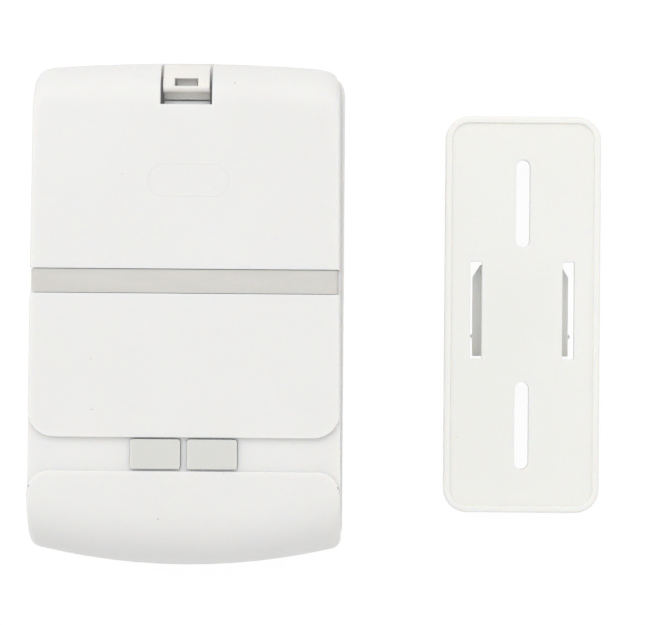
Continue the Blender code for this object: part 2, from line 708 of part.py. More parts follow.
def build_screws():
    for name, (x, y) in SCREW_PLACES.items():
        head_top = HEAD_SEAT_Z - GAP
        head_low = head_top - SCREW_HEAD_HEIGHT
        screw = rod(f"screw_{name}", x, y, head_low, head_top, SCREW_HEAD_RADIUS, ZINC_STEEL, sides=20)
        shank = rod(f"shank_{name}", x, y, head_top - WELD, SCREW_TIP_Z, SCREW_RADIUS, sides=16)
        join(screw, shank)
        for i, (across, along) in enumerate(((1, 0), (0, 1))):
            reach = SCREW_HEAD_RADIUS * 0.7
            half = Vector((reach if across else SCREW_SLOT / 2, reach if along else SCREW_SLOT / 2, 0))
            middle = Vector((x, y, head_low))
            low, high = middle - half, middle + half
            cut(screw, box(f"recess_{name}_{i}", (*low.xy, head_low - OVER), (*high.xy, head_low + WELD)))


# Battery cover and its spring latch


def strip_outline(line, thickness):
    """Closed outline of a bent strip of even thickness about a centre line of (y, z) points."""
    left, right = [], []
    for i, point in enumerate(line):
        before, after = line[max(0, i - 1)], line[min(len(line) - 1, i + 1)]
        along = Vector((after[0] - before[0], after[1] - before[1])).normalized()
        across = Vector((-along.y, along.x)) * thickness / 2
        left.append((point[0] + across.x, point[1] + across.y))
        right.append((point[0] - across.x, point[1] - across.y))
    return left + right[::-1]


def build_latch():
    """Moving half of the U latch: the outer leg and the finger head that follows the shoulder."""
    pivot = (0, LATCH_BEND_Y, LATCH_PIVOT_Z)
    bend = arc((LATCH_BEND_Y, LATCH_BEND_Z), LATCH_BEND_RADIUS, -82, 0, 6)
    tip_y = LATCH_HEAD_HIGH_Y
    turn = LATCH_TURN
    start_y = LATCH_HEAD_LOW_Y
    steps = 6
    below = LATCH_THICK / 2
    head = [shoulder_point(start_y + (tip_y - start_y) * i / steps, below) for i in range(steps + 1)]
    corner_z = head[0][1] - turn
    corner = arc((start_y, corner_z), turn, 180, 90, 4)[:-1]
    outline = strip_outline(bend + corner + head, LATCH_THICK)
    half = LATCH_WIDTH / 2
    bm = extrude_bmesh(outline, -half, half, axes="YZX")
    latch = link_mesh("cover_latch", bm, WHITE_ABS, origin=pivot)
    window_y = LATCH_WINDOW_Y
    half_x, half_y = LATCH_WINDOW[0] / 2, LATCH_WINDOW[1] / 2
    low_z = shoulder_point(window_y, below)[1] - 2 * LATCH_THICK
    cut(
        latch,
        box(
            "latch_window",
            (-half_x, window_y - half_y, low_z),
            (half_x, window_y + half_y, DEPTH + OVER),
        ),
    )
    return latch


def build_battery_cover():
    hinge = (0, COVER_EDGE_Y, DEPTH)
    cover = link_mesh("battery_cover", loft_bmesh(front_rings()), WHITE_ABS, origin=hinge)
    cut(cover, link_mesh("cover_inside", loft_bmesh(front_rings(WALL, OVER))))
    keep = box(
        "cover_region", (-WIDE, COVER_EDGE_Y, COVER_SEAM_Z), (WIDE, END_Y + OVER, DEPTH + OVER)
    )
    boolean(cover, keep, "INTERSECT")
    notch_half = NOTCH_WIDTH / 2
    cut(cover, box("latch_notch", (-notch_half, NOTCH_Y, 0), (notch_half, END_Y + OVER, DEPTH + OVER)))
    leaf_line = [(LATCH_LEAF_Y, DEPTH - WALL + WELD)]
    leaf_line += arc((LATCH_BEND_Y, LATCH_BEND_Z), LATCH_BEND_RADIUS, 180, 262, 6)
    leaf = extrude_bmesh(strip_outline(leaf_line, LATCH_THICK), -LATCH_WIDTH / 2, LATCH_WIDTH / 2, "YZX")
    join(cover, link_mesh("latch_leaf", leaf))
    for side, sign in SIDES.items():
        x = sign * TONGUE_X
        root_y = COVER_EDGE_Y + GAP
        bottom_z = DEPTH - WALL - TONGUE_DROP
        profile = [
            (root_y + TONGUE_THICK, DEPTH - WALL + WELD),
            (root_y + TONGUE_THICK, bottom_z),
            (COVER_EDGE_Y - TONGUE_REACH, bottom_z),
            (COVER_EDGE_Y - TONGUE_REACH, bottom_z + TONGUE_THICK),
            (root_y, bottom_z + TONGUE_THICK),
            (root_y, DEPTH - WALL + WELD),
        ]
        half = TONGUE_WIDTH / 2
        join(cover, link_mesh(f"tongue_{side}", extrude_bmesh(profile, x - half, x + half, "YZX")))
    return cover


def build_light_bar():
    """Diffuser that runs the full width of the front and out to both sides."""
    bar = link_mesh("light_bar", loft_bmesh(front_rings(BAR_RECESS)), GREY_ACRYLIC)
    region = box(
        "bar_region",
        (-WIDE, BAR_LOW_Y + BAR_GAP, BAR_BOTTOM_Z),
        (WIDE, COVER_EDGE_Y - BAR_GAP, DEPTH + OVER),
    )
    boolean(bar, region, "INTERSECT")
    return bar


# Buttons and tact switches


def build_button(side, sign):
    x = sign * BUTTON_PITCH / 2
    half_x, half_y = BUTTON_SIZE[0] / 2, BUTTON_SIZE[1] / 2
    origin = (x, VALLEY_Y, FLANGE_BOTTOM_Z)
    cap_outline = [(px + x, py + VALLEY_Y) for px, py in rounded_rectangle(half_x, half_y, BUTTON_CORNER, 2)]
    cap_bm = extrude_bmesh(cap_outline, FLANGE_TOP_Z - BUTTON_FLANGE_THICK / 2, BUTTON_TOP_Z)
    button = link_mesh(f"{side}_button", cap_bm, GREY_ABS, origin=origin)
    bevel(button, BUTTON_EDGE, angle=60)
    out_x, out_y = BUTTON_FLANGE
    flange = box(
        f"flange_{side}",
        (x - half_x - out_x, VALLEY_Y - half_y - out_y, FLANGE_BOTTOM_Z),
        (x + half_x + out_x, VALLEY_Y + half_y + out_y, FLANGE_TOP_Z),
    )
    join(button, flange)


def build_switch(side, sign):
    x = sign * BUTTON_PITCH / 2
    half = SWITCH_SIZE / 2
    body = box(
        f"{side}_switch_body",
        (x - half, VALLEY_Y - half, SWITCH_BOTTOM_Z),
        (x + half, VALLEY_Y + half, SWITCH_TOP_Z),
        BLACK_EPOXY,
    )
    well_z = PLUNGER_BOTTOM_Z - BUTTON_TRAVEL - GAP
    cut(body, rod(f"well_{side}", x, VALLEY_Y, well_z, SWITCH_TOP_Z + WELD, PLUNGER_RADIUS + GAP))
    rod(
        f"{side}_switch_plunger",
        x,
        VALLEY_Y,
        PLUNGER_BOTTOM_Z,
        PLUNGER_TOP_Z,
        PLUNGER_RADIUS,
        TINNED_STEEL,
        origin=(x, VALLEY_Y, PLUNGER_BOTTOM_Z),
    )


# Circuit board and its components


def turned(name, profile, material, location, turn):
    """A turned piece from a radius and height profile, run top to bottom down its outer side."""
    mesh = bpy.data.meshes.new(name)
    points = [(radius, 0, height) for radius, height in profile]
    mesh.from_pydata(points, [(i, i + 1) for i in range(len(points) - 1)], [])
    mesh.materials.append(material)
    obj = bpy.data.objects.new(name, mesh)
    obj.location = location
    obj.rotation_euler = turn
    obj.parent = UNIT
    parts.objects.link(obj)
    screw = obj.modifiers.new("turn", "SCREW")
    screw.steps = 24
    screw.render_steps = 24
    screw.use_merge_vertices = True
    screw.merge_threshold = 0.00001
    return obj


def helix_tube(name, points, wire, material):
    curve = bpy.data.curves.new(name, "CURVE")
    curve.dimensions = "3D"
    curve.bevel_depth = wire
    curve.bevel_resolution = 1
    curve.use_fill_caps = True
    spline = curve.splines.new("POLY")
    spline.points.add(len(points) - 1)
    for place, point in zip(spline.points, points):
        place.co = (*point, 1.0)
    curve.materials.append(material)
    obj = bpy.data.objects.new(name, curve)
    obj.parent = UNIT
    parts.objects.link(obj)
    return obj


def chip(name, size, at, material):
    half_x, half_y = size[0] / 2, size[1] / 2
    x, y = at[0], at[1] + BOARD_MIDDLE_Y
    low = (x - half_x, y - half_y, PART_Z)
    return box(name, low, (x + half_x, y + half_y, PART_Z + size[2]), material)


def build_board():
    box(
        "circuit_board",
        (-BOARD_HALF_WIDTH, BOARD_LOW_Y, BOARD_BOTTOM_Z),
        (BOARD_HALF_WIDTH, BOARD_HIGH_Y, BOARD_TOP_Z),
        BOARD_GREEN,
    )
    chip("controller_chip", CHIP_SIZE, CHIP_AT, BLACK_EPOXY)
    radio_at = (RADIO_X, BOARD_LOW_Y + RADIO_UP - BOARD_MIDDLE_Y)
    chip("radio_module", RADIO_SIZE, radio_at, TINNED_STEEL)
    bevel(chip("crystal_can", CRYSTAL_SIZE, CRYSTAL_AT, TINNED_STEEL), CRYSTAL_SIZE[1] / 3, 3, 60)
    can_x, can_y = CAPACITOR_AT[0], CAPACITOR_AT[1] + BOARD_MIDDLE_Y
    can_top = PART_Z + CAPACITOR_HEIGHT
    rod("capacitor", can_x, can_y, PART_Z, can_top, CAPACITOR_RADIUS, CELL_JACKET)
    bar_y = (BAR_LOW_Y + BAR_HIGH_Y) / 2
    dome = arc((0, LED_HEIGHT - LED_RADIUS), LED_RADIUS, 90, 0, 5)
    foot = [(LED_RADIUS, 0), (0, 0)]
    for side, sign in SIDES.items():
        turned(f"{side}_lamp", dome + foot, LED_EPOXY, (sign * LED_X, bar_y, PART_Z), (0, 0, 0))
    half = REED_LENGTH / 2
    lead, lead_length = REED_LEAD
    capsule = [(0, half + lead_length), (lead, half + lead_length), (lead, half)]
    capsule += arc((0, half - REED_RADIUS), REED_RADIUS, 70, 0, 4)
    capsule += [(radius, -height) for radius, height in reversed(capsule)]
    reed_place = (REED_AT[0], REED_AT[1] + BOARD_MIDDLE_Y, PART_Z + REED_RADIUS)
    turned("reed_switch", capsule, REED_GLASS, reed_place, (math.radians(90), 0, 0))


def coil_points(turns, length, radii, steps=10):
    """Helix along +X from the origin, its radius running evenly from the first to the second."""
    points = []
    for i in range(turns * steps + 1):
        share = i / (turns * steps)
        radius = radii[0] + (radii[1] - radii[0]) * share
        turn = math.tau * turns * share
        points.append(Vector((length * share, radius * math.cos(turn), radius * math.sin(turn))))
    return points


def print_coil_gap(name, points, wire, steps=10):
    """Prints the least clear gap between turns that lie next to each other."""
    near = min((points[i] - points[i + steps]).length for i in range(len(points) - steps))
    print(f"{name}: least gap between turns {(near - 2 * wire) / MM:.2f} mm")


def build_antenna():
    length = ANTENNA_TURNS * ANTENNA_PITCH
    points = coil_points(ANTENNA_TURNS, length, (ANTENNA_RADIUS, ANTENNA_RADIUS))
    print_coil_gap("antenna_coil", points, ANTENNA_WIRE)
    start_y = ANTENNA_AT[1] + BOARD_MIDDLE_Y
    middle = Vector((ANTENNA_AT[0], start_y, PART_Z + ANTENNA_RADIUS + ANTENNA_WIRE))
    turn = Matrix.Rotation(math.radians(90), 3, "Z")
    helix_tube("antenna_coil", [turn @ p + middle for p in points], ANTENNA_WIRE, COPPER_WIRE)


# Cells and their contacts


def build_cell(name, y, sign):
    """One AA cell lying along X, its positive nub towards sign, between a coil and a plate contact."""
    nub_radius, nub_length = CELL_NUB
    body = CELL_LENGTH - nub_length
    edge = 2 * GAP
    profile = [
        (0, CELL_LENGTH),
        (nub_radius, CELL_LENGTH),
        (nub_radius, body),
        (CELL_RADIUS - edge, body),
        (CELL_RADIUS, body - edge),
        (CELL_RADIUS, edge),
        (CELL_RADIUS - edge, 0),
        (0, 0),
    ]
    wall_x = -sign * BAY_HALF_X
    plate_x = wall_x + sign * GAP
    coil_x = plate_x + sign * (CONTACT_THICK + GAP)
    cell_x = coil_x + sign * (COIL_LENGTH + GAP)
    turned(f"{name}_cell", profile, CELL_JACKET, (cell_x, y, CELL_Z), (0, sign * math.radians(90), 0))
    inner = COIL_LENGTH - 2 * COIL_WIRE
    points = coil_points(COIL_TURNS, inner, COIL_RADII)
    print_coil_gap(f"{name}_contact_coil", points, COIL_WIRE)
    middle = Vector((coil_x + sign * COIL_WIRE, y, CELL_Z))
    placed = [Vector((sign * p.x, p.y, p.z)) + middle for p in points]
    helix_tube(f"{name}_contact_coil", placed, COIL_WIRE, TINNED_STEEL)
    far_x = sign * BAY_HALF_X - sign * GAP
    for end, x, inward in (("coil_plate", plate_x, sign), ("nub_plate", far_x, -sign)):
        other_x = x + inward * CONTACT_THICK
        box(
            f"{name}_{end}",
            (min(x, other_x), y - CONTACT_WIDTH / 2, CELL_Z - CONTACT_HEIGHT / 2),
            (max(x, other_x), y + CONTACT_WIDTH / 2, CELL_Z + CONTACT_HEIGHT / 2),
            TINNED_STEEL,
        )


# Wall bracket


def build_bracket():
    half_x, half_y = BRACKET_WIDTH / 2, BRACKET_LENGTH / 2
    plate_bm = extrude_bmesh(rounded_rectangle(half_x, half_y, BRACKET_CORNER), RAIL_HEIGHT, BRACKET_TOP_Z)
    bracket = link_mesh("mounting_bracket", plate_bm, BRACKET_ABS, parent=BRACKET)
    bevel(bracket, BRACKET_EDGE, angle=60)
    inset = BRACKET_RIM
    field = rounded_rectangle(half_x - inset, half_y - inset, BRACKET_CORNER - inset)
    field_z = BRACKET_TOP_Z - BRACKET_FIELD_DEPTH
    cut(
        bracket,
        link_mesh("bracket_field", extrude_bmesh(field, field_z, BRACKET_TOP_Z + OVER), parent=BRACKET),
    )
    slot_half, slot_length = BRACKET_SLOT[0] / 2, BRACKET_SLOT[1]
    rail_low = RAIL_MIDDLE_Y - RAIL_LENGTH / 2
    rail_high = RAIL_MIDDLE_Y + RAIL_LENGTH / 2
    for end, sign in (("upper", 1), ("lower", -1)):
        slot = rounded_rectangle(slot_half, slot_length / 2, slot_half * 0.98, 5)
        slot = [(x, y + sign * BRACKET_SLOT_Y) for x, y in slot]
        bm = extrude_bmesh(slot, RAIL_HEIGHT - OVER, BRACKET_TOP_Z + OVER)
        cut(bracket, link_mesh(f"{end}_screw_slot", bm, parent=BRACKET))
    for side, sign in SIDES.items():
        web = sign * RAIL_SPAN / 2
        web_in = web - sign * RAIL_WEB
        lip_out = web + sign * LIP_REACH
        window_out = web + sign * WINDOW_WIDTH
        window = box(
            f"{side}_window",
            (min(web, window_out), rail_low - WINDOW_ROOM, RAIL_HEIGHT - OVER),
            (max(web, window_out), rail_high + WINDOW_ROOM, BRACKET_TOP_Z + OVER),
            parent=BRACKET,
        )
        cut(bracket, window)
        web_box = box(
            f"{side}_web",
            (min(web, web_in), rail_low, 0),
            (max(web, web_in), rail_high, RAIL_HEIGHT + WELD),
            parent=BRACKET,
        )
        lip = [
            (web - sign * WELD, rail_low),
            (lip_out, rail_low),
            (lip_out, rail_high - LIP_CHAMFER),
            (web, rail_high),
            (web - sign * WELD, rail_high),
        ]
        lip_obj = link_mesh(f"{side}_lip", extrude_bmesh(lip, 0, LIP_THICK), parent=BRACKET)
        nub_y = rail_low + NUB_FROM_END
        nub = rod(f"{side}_nub", lip_out, nub_y, 0, LIP_THICK, NUB_RADIUS, sides=12, parent=BRACKET)
        join(bracket, web_box, lip_obj, nub)
    return bracket


build_rear_housing()
build_front_housing()
build_battery_cover()
build_latch()
build_light_bar()
for side_name, side_sign in SIDES.items():
    build_button(side_name, side_sign)
    build_switch(side_name, side_sign)
build_board()
build_antenna()
build_cell("upper", BAY_MIDDLE_Y + CELL_PITCH / 2, 1)
build_cell("lower", BAY_MIDDLE_Y - CELL_PITCH / 2, -1)
build_screws()
build_bracket()
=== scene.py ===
import math

import bpy
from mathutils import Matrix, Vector


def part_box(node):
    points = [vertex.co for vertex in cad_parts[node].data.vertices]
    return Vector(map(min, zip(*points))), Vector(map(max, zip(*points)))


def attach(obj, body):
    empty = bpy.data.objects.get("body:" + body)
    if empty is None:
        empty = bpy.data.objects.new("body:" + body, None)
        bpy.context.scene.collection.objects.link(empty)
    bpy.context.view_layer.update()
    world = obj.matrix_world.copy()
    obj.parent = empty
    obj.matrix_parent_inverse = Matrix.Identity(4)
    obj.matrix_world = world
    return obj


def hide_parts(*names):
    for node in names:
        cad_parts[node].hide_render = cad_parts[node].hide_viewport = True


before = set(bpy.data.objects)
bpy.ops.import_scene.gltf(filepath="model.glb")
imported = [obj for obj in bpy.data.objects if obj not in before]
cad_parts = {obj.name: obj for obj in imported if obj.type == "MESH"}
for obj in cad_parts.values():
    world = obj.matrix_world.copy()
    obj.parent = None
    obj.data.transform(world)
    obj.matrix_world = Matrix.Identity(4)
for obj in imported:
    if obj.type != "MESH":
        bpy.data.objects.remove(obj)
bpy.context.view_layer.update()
mm = 0.001
white = (1, 1, 1, 1)
print("frame loaded")


# Small helpers

# sockets of a Mix node that mixes colours
factorIn, firstIn, secondIn, colorOut = 0, 6, 7, 2


def linear(hexColor):
    # sRGB hex to the linear values that shaders take
    values = [int(hexColor[i : i + 2], 16) / 255 for i in (0, 2, 4)]
    return [v / 12.92 if v <= 0.04045 else ((v + 0.055) / 1.055) ** 2.4 for v in values] + [1.0]


def scaleFor(size):
    # texture scale at which one blotch or cell is about this many millimetres wide
    return 1 / (size * mm)


def setInputs(tree, node, inputs):
    # an output of another node is linked, and any other value is set
    for name, value in inputs.items():
        socket = node.inputs[name]
        if isinstance(value, bpy.types.NodeSocket):
            tree.links.new(value, socket)
        else:
            socket.default_value = value


def addNode(tree, kind, inputs, out=0, **settings):
    # adds a shader node and gives back one of its outputs
    node = tree.nodes.new("ShaderNode" + kind)
    for name, value in settings.items():
        setattr(node, name, value)
    setInputs(tree, node, inputs)
    return node.outputs[out]


def newMaterial(name):
    material = bpy.data.materials.new(name)
    material.use_nodes = True
    tree = material.node_tree
    return material, tree, tree.nodes["Principled BSDF"]


# Outer materials

unitLow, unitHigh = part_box("front_housing")
unitX = (unitLow.x + unitHigh.x) / 2

# sizes and depths in millimetres, and a band is the part of the noise that becomes a spot
speck = dict(size=1.3, detail=1.0, band=(0.85, 0.88), share=0.14, tone="B9AFA2")
dust = dict(size=0.9, detail=0.0, band=(0.885, 0.905), share=0.25, tone="8C8379")
moulding = dict(
    blotch=26.0,
    blotchDetail=3.0,
    flaws=(speck, dust),
    grain=0.35,  # coarser than a real moulding's spark grain, which wouldn't show
    grainDetail=2.0,
    grainDepth=0.006,
    bump=0.6,
    specular=0.35,
    lightInside=0.6,
    lightTint=(1.0, 0.8, 0.6),
    lightReach=1.6 * mm,
)


def mouldedPlastic(name, clean, aged, roughness, mark=None):
    # matt moulded skin that takes a little light in: fine spark grain, slow change of tone, few specks
    material, tree, shader = newMaterial(name)
    place = addNode(tree, "TexCoord", {}, "Object")
    noise = {"Vector": place, "Scale": scaleFor(moulding["blotch"]), "Detail": moulding["blotchDetail"]}
    blotches = addNode(tree, "TexNoise", noise, "Fac")
    tones = {factorIn: blotches, firstIn: linear(clean), secondIn: linear(aged)}
    tone = addNode(tree, "Mix", tones, colorOut, data_type="RGBA")
    for flaw in moulding["flaws"]:
        noise = {"Vector": place, "Scale": scaleFor(flaw["size"]), "Detail": flaw["detail"]}
        low, high = flaw["band"]
        band = {"Value": addNode(tree, "TexNoise", noise, "Fac"), "From Min": low, "From Max": high}
        spots = addNode(tree, "MapRange", band, interpolation_type="SMOOTHSTEP")
        share = addNode(tree, "Math", {0: spots, 1: flaw["share"]}, operation="MULTIPLY")
        tones = {factorIn: share, firstIn: tone, secondIn: linear(flaw["tone"])}
        tone = addNode(tree, "Mix", tones, colorOut, data_type="RGBA")
    noise = {"Vector": place, "Scale": scaleFor(moulding["grain"]), "Detail": moulding["grainDetail"]}
    grain = addNode(tree, "TexNoise", noise, "Fac")
    height = addNode(tree, "Math", {0: grain, 1: moulding["grainDepth"]}, operation="MULTIPLY")
    if mark:
        # the oval's edge is a real shallow groove in the bump, and its darker grey tone is painted shade of
        # that groove
        line = badgeEdge(tree, place, mark)
        share = addNode(tree, "Math", {0: line, 1: mark["share"]}, operation="MULTIPLY")
        tones = {factorIn: share, firstIn: tone, secondIn: linear(mark["tone"])}
        tone = addNode(tree, "Mix", tones, colorOut, data_type="RGBA")
        groove = addNode(tree, "Math", {0: line, 1: mark["depth"]}, operation="MULTIPLY")
        height = addNode(tree, "Math", {0: height, 1: groove}, operation="SUBTRACT")
    relief = {"Height": height, "Distance": mm, "Strength": moulding["bump"]}
    skin = {
        "Base Color": tone,
        "Normal": addNode(tree, "Bump", relief),
        "Roughness": roughness,
        "Specular IOR Level": moulding["specular"],
        "Subsurface Weight": moulding["lightInside"],
        "Subsurface Radius": moulding["lightTint"],
        "Subsurface Scale": moulding["lightReach"],
    }
    setInputs(tree, shader, skin)
    return material


def badgeEdge(tree, place, mark):
    # the fine edge of a shallow blank oval, where a badge would sit: 1 on the line and 0 off it; the bump
    # cuts a real groove there and the colour paints its shade
    zero = (0, 0, 0)
    steps = (
        ("SUBTRACT", (mark["x"], mark["y"], 0)),
        ("ABSOLUTE", zero),
        ("SUBTRACT", (mark["straight"], 0, 0)),
        ("MAXIMUM", zero),
        ("MULTIPLY", (1, 1, 0)),  # seen from above, so the height doesn't count
    )
    reach = place
    for operation, other in steps:
        reach = addNode(tree, "VectorMath", {0: reach, 1: other}, operation=operation)
    away = addNode(tree, "VectorMath", {0: reach}, "Value", operation="LENGTH")
    away = addNode(tree, "Math", {0: away, 1: mark["radius"]}, operation="SUBTRACT")
    away = addNode(tree, "Math", {0: away}, operation="ABSOLUTE")
    band = {"Value": away, "From Min": mark["line"], "From Max": 0.0}
    return addNode(tree, "MapRange", band, interpolation_type="SMOOTHSTEP")


badge = dict(x=unitX + 0.65 * mm, y=28.93 * mm, straight=5.2 * mm, radius=3.45 * mm, line=0.17 * mm)
# the badge tone is painted shade along the groove's edge, and the depth is the real groove
badge.update(share=0.2, tone="C9C8C6", depth=0.03)  # depth in millimetres
housingAbs = mouldedPlastic("moulded white ABS", "EDEDEC", "E9E8E6", 0.46)
coverAbs = mouldedPlastic("moulded white ABS with blank badge place", "EDEDEC", "E9E8E6", 0.46, badge)
bracketAbs = mouldedPlastic("moulded warm white ABS", "F1F1EF", "ECECE8", 0.5)
latchAbs = mouldedPlastic("moulded cream white ABS", "EFECE8", "EAE7E3", 0.46)
buttonAbs = mouldedPlastic("moulded light grey ABS", "DFDFDC", "DADAD6", 0.42)

diffuser = dict(
    streak=1.6,  # across the strip, in millimetres
    streakDetail=3.0,
    stretch=0.12,
    dark="CFCDC8",
    pale="D9D7D3",
    roughness=0.32,
    lightInside=0.2,
    lightReach=1.5 * mm,
)


def diffuserAcrylic():
    # milky strip that takes a little light inside and is slightly streaked along its length
    material, tree, shader = newMaterial("milky grey acrylic")
    place = addNode(tree, "TexCoord", {}, "Object")
    place = addNode(tree, "Mapping", {"Vector": place, "Scale": (diffuser["stretch"], 1, 1)})
    noise = {"Vector": place, "Scale": scaleFor(diffuser["streak"]), "Detail": diffuser["streakDetail"]}
    streaks = addNode(tree, "TexNoise", noise, "Fac")
    tones = {factorIn: streaks, firstIn: linear(diffuser["dark"]), secondIn: linear(diffuser["pale"])}
    strip = {
        "Base Color": addNode(tree, "Mix", tones, colorOut, data_type="RGBA"),
        "Roughness": diffuser["roughness"],
        "Subsurface Weight": diffuser["lightInside"],
        "Subsurface Scale": diffuser["lightReach"],
    }
    setInputs(tree, shader, strip)
    return material


acrylic = diffuserAcrylic()


# Inner materials

patchDetail = 2.0


def innerFinish(name, dark, pale, patch, roughness, metallic=0.0):
    # two close tones in soft patches of this many millimetres
    material, tree, shader = newMaterial(name)
    place = addNode(tree, "TexCoord", {}, "Object")
    noise = {"Vector": place, "Scale": scaleFor(patch), "Detail": patchDetail}
    patches = addNode(tree, "TexNoise", noise, "Fac")
    tones = {factorIn: patches, firstIn: linear(dark), secondIn: linear(pale)}
    tone = addNode(tree, "Mix", tones, colorOut, data_type="RGBA")
    setInputs(tree, shader, {"Base Color": tone, "Roughness": roughness, "Metallic": metallic})
    return material


laminate = dict(
    spacing=3.0,  # of the tracks, in millimetres
    band=(0.42, 0.5),
    mask="1F5A36",
    track="2F7548",
    rise=0.05 * mm,
    bump=0.4,
    roughness=0.38,
)


def boardLaminate():
    # green solder mask with a fine net of slightly raised tracks under it
    material, tree, shader = newMaterial("solder masked laminate")
    place = addNode(tree, "TexCoord", {}, "Object")
    cells = {"Vector": place, "Scale": scaleFor(laminate["spacing"])}
    away = addNode(tree, "TexVoronoi", cells, "Distance", distance="MANHATTAN", feature="F1")
    low, high = laminate["band"]
    band = {"Value": away, "From Min": low, "From Max": high}
    tracks = addNode(tree, "MapRange", band, interpolation_type="SMOOTHSTEP")
    tones = {factorIn: tracks, firstIn: linear(laminate["mask"]), secondIn: linear(laminate["track"])}
    tone = addNode(tree, "Mix", tones, colorOut, data_type="RGBA")
    relief = {"Height": tracks, "Distance": laminate["rise"], "Strength": laminate["bump"]}
    normal = addNode(tree, "Bump", relief)
    setInputs(tree, shader, {"Base Color": tone, "Normal": normal, "Roughness": laminate["roughness"]})
    return material


# the dark ring and then the bare steel, each as far as this from the nub end
film = dict(body="8E9498", bands=(("3A3D41", 4.0 * mm), ("C9C9C6", 1.8 * mm)), fade=0.1 * mm, roughness=0.3)


def cellFilm(node, nubAtRight):
    # plain grey film with one darker ring at the nub end and a bare steel end
    material, tree, shader = newMaterial(f"plain cell film {node}")
    low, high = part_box(node)
    nubEnd = high.x if nubAtRight else low.x
    place = addNode(tree, "TexCoord", {}, "Object")
    along = addNode(tree, "SeparateXYZ", {0: place}, "X")
    away = addNode(tree, "Math", {0: along, 1: nubEnd}, operation="SUBTRACT")
    away = addNode(tree, "Math", {0: away}, operation="ABSOLUTE")
    tone = linear(film["body"])
    for color, width in film["bands"]:
        band = {"Value": away, "From Min": width + film["fade"], "From Max": width}
        share = addNode(tree, "MapRange", band, interpolation_type="SMOOTHSTEP")
        tones = {factorIn: share, firstIn: tone, secondIn: linear(color)}
        tone = addNode(tree, "Mix", tones, colorOut, data_type="RGBA")
    # the last share is that of the bare steel
    setInputs(tree, shader, {"Base Color": tone, "Metallic": share, "Roughness": film["roughness"]})
    return material


tinned = innerFinish("tinned spring steel", "B9B9B5", "CFCFCB", 2.0, 0.28, 1.0)  # bright, a little cloudy
zinc = innerFinish("zinc plated steel", "9FA09C", "BDBDB8", 1.5, 0.35, 1.0)  # greyer and duller
epoxy = innerFinish("black moulded epoxy", "17171A", "222226", 1.0, 0.5)  # near black and matt
sleeve = innerFinish("dark capacitor sleeve", "1E2430", "272E3B", 3.0, 0.35)  # blue black, with a sheen
copperWire = innerFinish("bare copper wire", "B06A3C", "C98552", 1.0, 0.3, 1.0)  # warm and bright
lampEpoxy = innerFinish("clear lamp epoxy", "D9E2D2", "E4EBDF", 1.0, 0.15)  # pale and glossy
glass = innerFinish("green tinted reed glass", "9FBFA8", "B4CFBB", 2.0, 0.08)  # pale green, the glossiest

innerLooks = {
    "circuit_board": boardLaminate(),
    "controller_chip": epoxy,
    "capacitor": sleeve,
    "radio_module": tinned,
    "crystal_can": tinned,
    "reed_switch": glass,
    "antenna_coil": copperWire,
    "upper_cell": cellFilm("upper_cell", True),
    "lower_cell": cellFilm("lower_cell", False),
}
for side in ("left", "right"):
    innerLooks[f"{side}_switch_body"] = epoxy
    innerLooks[f"{side}_switch_plunger"] = tinned
    innerLooks[f"{side}_lamp"] = lampEpoxy
for end in ("upper", "lower"):
    for piece in ("contact_coil", "coil_plate", "nub_plate"):
        innerLooks[f"{end}_{piece}"] = tinned
    for side in ("left", "right"):
        innerLooks[f"screw_{end}_{side}"] = zinc
for name, material in innerLooks.items():
    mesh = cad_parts[name].data
    mesh.materials.clear()
    mesh.materials.append(material)
print("materials done")


# Mouldings: the CAD form with its edges eased as a mould leaves them

sameSpot = 0.002 * mm
sameFace = 0.6  # degrees


def closeGap(piece, settings):
    # widens the part of a piece above a height, so that its seam reads as thin as the photographed one
    vertices = piece.data.vertices
    chosen = [v.co for v in vertices if v.co.z > settings["above"]]
    spans = [max(c[i] for c in chosen) - min(c[i] for c in chosen) for i in (0, 1)]
    middle = [(max(c[i] for c in chosen) + min(c[i] for c in chosen)) / 2 for i in (0, 1)]
    bpy.ops.mesh.select_all(action="DESELECT")
    bpy.ops.object.mode_set(mode="OBJECT")
    for vertex in vertices:
        vertex.select = vertex.co.z > settings["above"]
    bpy.ops.object.mode_set(mode="EDIT")
    factors = [1 + 2 * more / span for more, span in zip(settings["wider"], spans)]
    bpy.ops.transform.resize(value=(*factors, 1.0), center_override=(*middle, 0.0))
    bpy.ops.mesh.select_all(action="SELECT")


def easedCopy(node, body, material, settings):
    # a merged copy of a CAD node takes its place, with eased edges where settings has an edge
    bpy.ops.object.select_all(action="DESELECT")
    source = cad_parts[node]
    source.select_set(True)
    bpy.context.view_layer.objects.active = source
    bpy.ops.object.duplicate()
    piece = bpy.context.view_layer.objects.active
    piece.name = f"{node}_skin"
    bpy.ops.object.mode_set(mode="EDIT")
    bpy.ops.mesh.select_all(action="SELECT")
    bpy.ops.mesh.remove_doubles(threshold=sameSpot)
    bpy.ops.mesh.dissolve_limited(angle_limit=math.radians(sameFace))
    bpy.ops.mesh.normals_make_consistent(inside=False)
    if settings.get("triangles"):
        # wide faces with windows are cut up, so that easing can't close a window
        bpy.ops.mesh.quads_convert_to_tris(quad_method="BEAUTY", ngon_method="BEAUTY")
    if "wider" in settings:
        closeGap(piece, settings)
    bpy.ops.object.mode_set(mode="OBJECT")
    piece.data.materials.clear()
    piece.data.materials.append(material)
    if "edge" in settings:
        ease = piece.modifiers.new("eased edges", "BEVEL")
        ease.width = settings["edge"]
        ease.segments = settings["steps"]
        ease.limit_method = "ANGLE"
        ease.angle_limit = math.radians(settings["angle"])
        ease.miter_outer = "MITER_ARC"
        ease.use_clamp_overlap = settings["clamp"]
        bpy.ops.object.modifier_apply(modifier=ease.name)
    bpy.ops.object.shade_smooth_by_angle(angle=math.radians(settings["smooth"]))
    piece.modifiers.new("flat faces stay flat", "WEIGHTED_NORMAL").keep_sharp = True
    bpy.ops.object.modifier_apply(modifier="flat faces stay flat")
    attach(piece, body)
    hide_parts(node)


